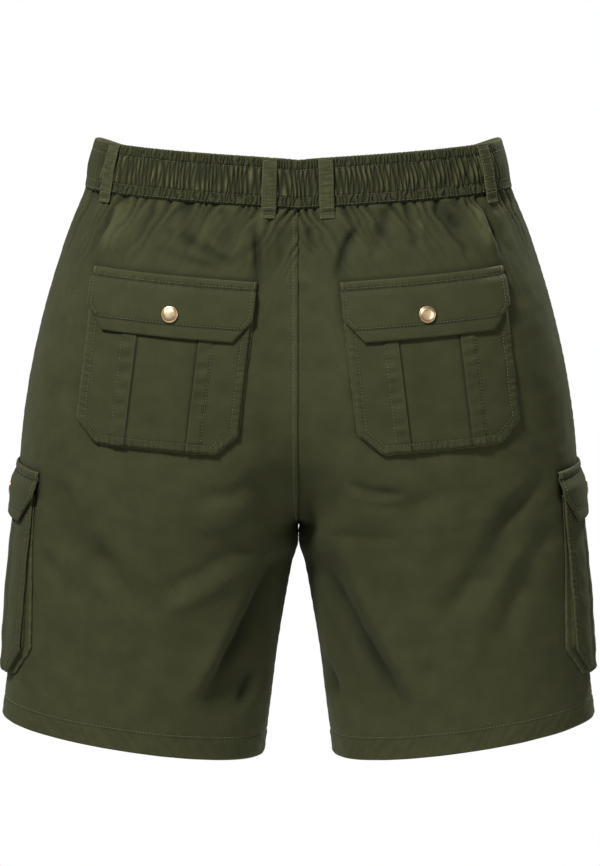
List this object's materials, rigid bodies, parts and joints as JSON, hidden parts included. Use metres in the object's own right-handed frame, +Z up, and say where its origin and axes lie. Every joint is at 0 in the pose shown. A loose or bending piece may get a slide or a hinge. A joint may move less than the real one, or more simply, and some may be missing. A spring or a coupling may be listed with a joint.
{
  "type": "cargo shorts, filled out with no wearer",
  "caption": "Knee-length cargo shorts in cotton twill, waistband gathered behind with belt loops, flapped bellows pockets with snaps on the back and sides, open waist and legs.",
  "frame": {"origin": "middle of the waist opening, where the wearer's waist holds the shorts, level with the middle of the waistband at the side seams", "axes": "+Z up through the waist opening, +Y to the back of the shorts, -Y to the front, +X to the wearer's left"},
  "size_m": [0.5414, 0.2387, 0.5588],
  "materials": {
    "twill": "washed cotton twill, dark olive, matt with paler worn edges",
    "brass": "pale polished, darker rolled rim"
  },
  "bodies": {
    "root": {"back_panel_left": "twill", "front_panel_left": "twill", "waistband_front_left": "twill", "back_pocket_bellows_left": "twill", "back_pocket_left": "twill", "back_pocket_flap_left": "twill", "back_pocket_snap_left": "brass", "cargo_pocket_bellows_left": "twill", "cargo_pocket_left": "twill", "cargo_pocket_flap_left": "twill", "cargo_pocket_snap_left": "brass", "back_panel_right": "twill", "front_panel_right": "twill", "waistband_front_right": "twill", "back_pocket_bellows_right": "twill", "back_pocket_right": "twill", "back_pocket_flap_right": "twill", "back_pocket_snap_right": "brass", "cargo_pocket_bellows_right": "twill", "cargo_pocket_right": "twill", "cargo_pocket_flap_right": "twill", "cargo_pocket_snap_right": "brass", "waistband_back": "twill", "belt_loop_back_left": "twill", "belt_loop_back_right": "twill", "belt_loop_side_left": "twill", "belt_loop_side_right": "twill", "belt_loop_front_left": "twill", "belt_loop_front_right": "twill", "waist_snap": "brass"}
  },
  "joints": []
}
